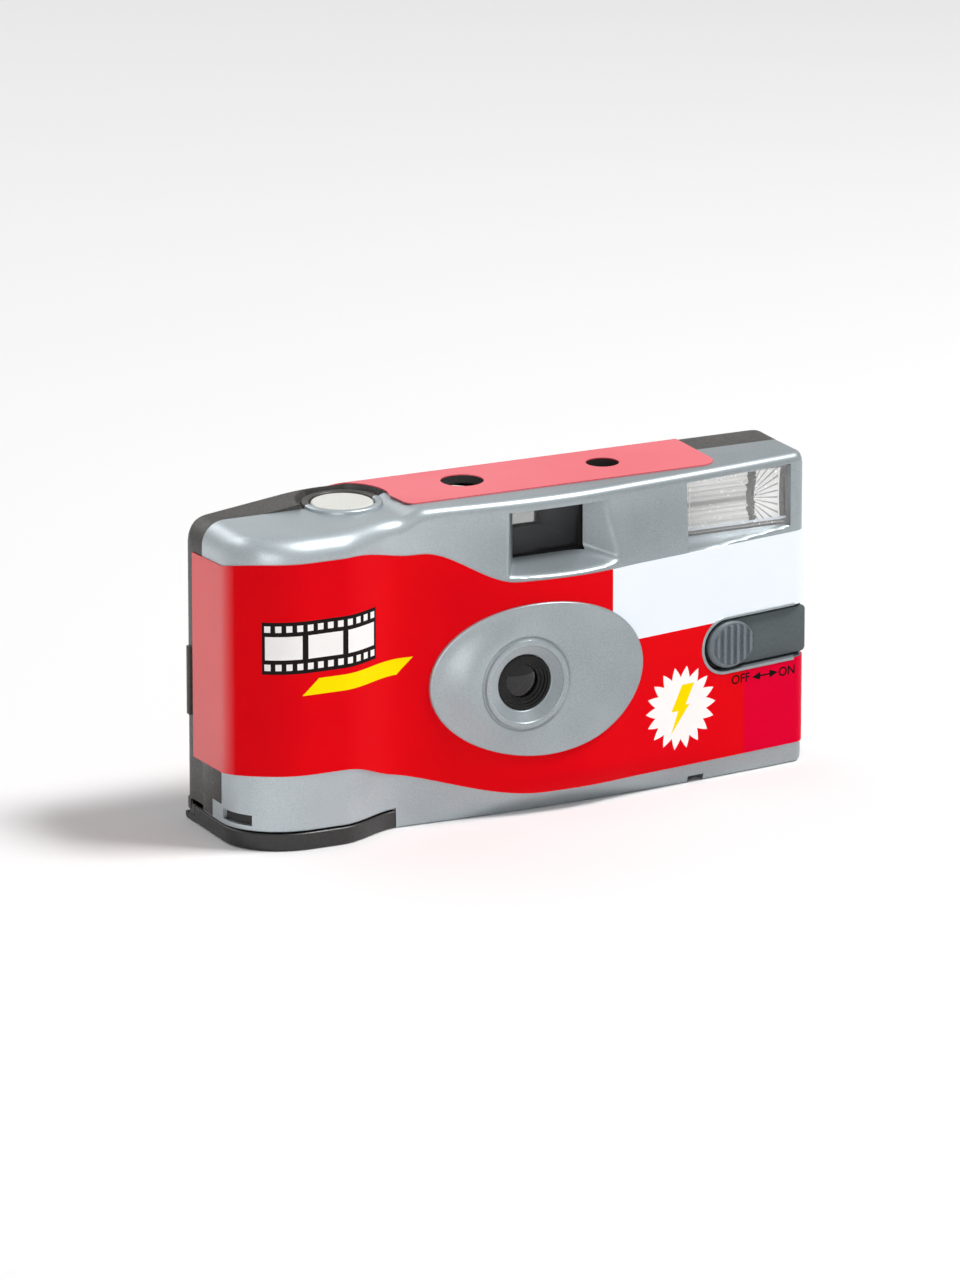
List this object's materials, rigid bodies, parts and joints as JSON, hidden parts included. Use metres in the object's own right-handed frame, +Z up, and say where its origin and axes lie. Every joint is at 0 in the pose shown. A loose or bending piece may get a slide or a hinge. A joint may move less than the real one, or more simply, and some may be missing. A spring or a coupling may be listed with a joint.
{
  "type": "disposable film camera",
  "caption": "Disposable film camera with a moulded film bulge, oval lens bezel, finder funnel, flash window, sliding flash switch, shutter button and film door.",
  "frame": {"origin": "middle of the footprint on the surface the camera stands on", "axes": "+X to the right as seen from the front, along the width; +Y from the lens to the back; +Z up"},
  "size_m": [0.1192, 0.0289, 0.0599],
  "materials": {
    "silver_plastic": "metallic flake, satin",
    "black_plastic": "fine grain",
    "frame_plastic": "matt",
    "label_paper": "printed and laminated",
    "button_plastic": "satin",
    "white_plastic": "satin",
    "yellow_plastic": "satin",
    "grey_plastic": "satin",
    "lens_black": "matt",
    "spring_wire": "drawn wire",
    "blade_metal": "black oxide",
    "clear_lens": "polished",
    "flash_clear": "moulded prisms",
    "tube_glass": "polished",
    "lamp_amber": "tinted",
    "cartridge_metal": "enamelled",
    "cartridge_cap": "enamelled",
    "film_base": "emulsion",
    "reflector_metal": "bright",
    "board_resin": "resin",
    "capacitor_sleeve": "sleeve",
    "coil_tape": "tape",
    "coil_winding": "enamelled wire",
    "battery_jacket": "jacket",
    "contact_brass": "sheet"
  },
  "bodies": {
    "camera": {"front_cover": "silver_plastic", "rear_cover": "black_plastic", "main_frame": "frame_plastic", "front_label": "label_paper", "back_label": "label_paper", "shutter_cover": "frame_plastic", "taking_lens": "clear_lens", "lens_retainer": "lens_black", "viewfinder_tunnel": "frame_plastic", "viewfinder_lens": "clear_lens", "eyepiece_lens": "clear_lens", "cartridge_shell": "cartridge_metal", "cartridge_top_cap": "cartridge_cap", "cartridge_bottom_cap": "cartridge_cap", "flash_window": "flash_clear", "flash_reflector": "reflector_metal", "flash_tube": "tube_glass", "flash_board": "board_resin", "flash_capacitor": "capacitor_sleeve", "transformer": "coil_tape", "trigger_coil": "coil_winding", "ready_lamp": "lamp_amber", "battery": "battery_jacket", "battery_contact_positive": "contact_brass", "battery_contact_negative": "contact_brass", "sync_contact": "contact_brass", "switch_contact": "contact_brass", "button_spring": "spring_wire", "drive_spring": "spring_wire", "shutter_spring": "spring_wire", "film_strip": "film_base"},
    "button": {"shutter_button": "button_plastic"},
    "release": {"release_lever": "white_plastic"},
    "drive": {"drive_lever": "yellow_plastic"},
    "blade": {"shutter_blade": "blade_metal"},
    "winder": {"thumb_wheel": "grey_plastic", "cartridge_spool": "frame_plastic"},
    "film_sprocket": {"sprocket": "white_plastic"},
    "supply": {"supply_spool": "frame_plastic", "film_roll": "film_base"},
    "counter": {"counter_dial": "white_plastic"},
    "switch": {"flash_switch": "grey_plastic"},
    "door": {"film_door": "black_plastic"}
  },
  "joints": [
    {"name": "button_press", "type": "slide", "parent": "camera", "child": "button", "axis": [0, 0, -1], "range_m": [0, 0.0015], "stiffness_N_per_m": 200, "springref_m": -0.001, "deforming": ["button_spring"]},
    {"name": "release_rock", "type": "hinge", "parent": "camera", "child": "release", "pos_m": [-0.0245, -0.0065, 0.0518], "axis": [0, -1, 0], "range_deg": [0, 17.3]},
    {"name": "drive_swing", "type": "hinge", "parent": "camera", "child": "drive", "pos_m": [-0.0122, -0.003, 0.0459], "axis": [0, 0, -1], "range_deg": [0, 34], "stiffness_Nm_per_rad": 0.0008, "springref_deg": -11.46, "deforming": ["drive_spring", "shutter_spring"]},
    {"name": "blade_swing", "type": "hinge", "parent": "camera", "child": "blade", "pos_m": [-0.009, -0.0083, 0.033], "axis": [0, -1, 0], "range_deg": [0, 27.3]},
    {"name": "wind", "type": "hinge", "parent": "camera", "child": "winder", "pos_m": [-0.0445, 0, 0.0525], "axis": [0, 0, 1], "continuous": true, "deforming": ["film_strip"]},
    {"name": "sprocket_turn", "type": "hinge", "parent": "camera", "child": "film_sprocket", "pos_m": [-0.024, 0.00445, 0.041], "axis": [0, 0, 1], "continuous": true},
    {"name": "supply_turn", "type": "hinge", "parent": "camera", "child": "supply", "pos_m": [0.029, 0.0018, 0.0256], "axis": [0, 0, 1], "continuous": true},
    {"name": "counter_turn", "type": "hinge", "parent": "camera", "child": "counter", "pos_m": [-0.0117, 0.0024, 0.055], "axis": [0, 0, 1], "continuous": true},
    {"name": "flash_slide", "type": "slide", "parent": "camera", "child": "switch", "axis": [0.9842, 0.1772, 0], "range_m": [0, 0.006]},
    {"name": "door_hinge", "type": "hinge", "parent": "camera", "child": "door", "pos_m": [-0.0431, 0.0133, 0.00075], "axis": [1, 0, 0], "range_deg": [0, 95]}
  ],
  "couplings": [
    {"joint": "release_rock", "follows": "button_press", "rad_per_m": 200},
    {"joint": "blade_swing", "follows": "drive_swing", "ratio": 0.8},
    {"joint": "sprocket_turn", "follows": "wind", "ratio": 1.3228},
    {"joint": "supply_turn", "follows": "wind", "ratio": 0.9302},
    {"joint": "counter_turn", "follows": "wind", "ratio": -0.04409}
  ]
}
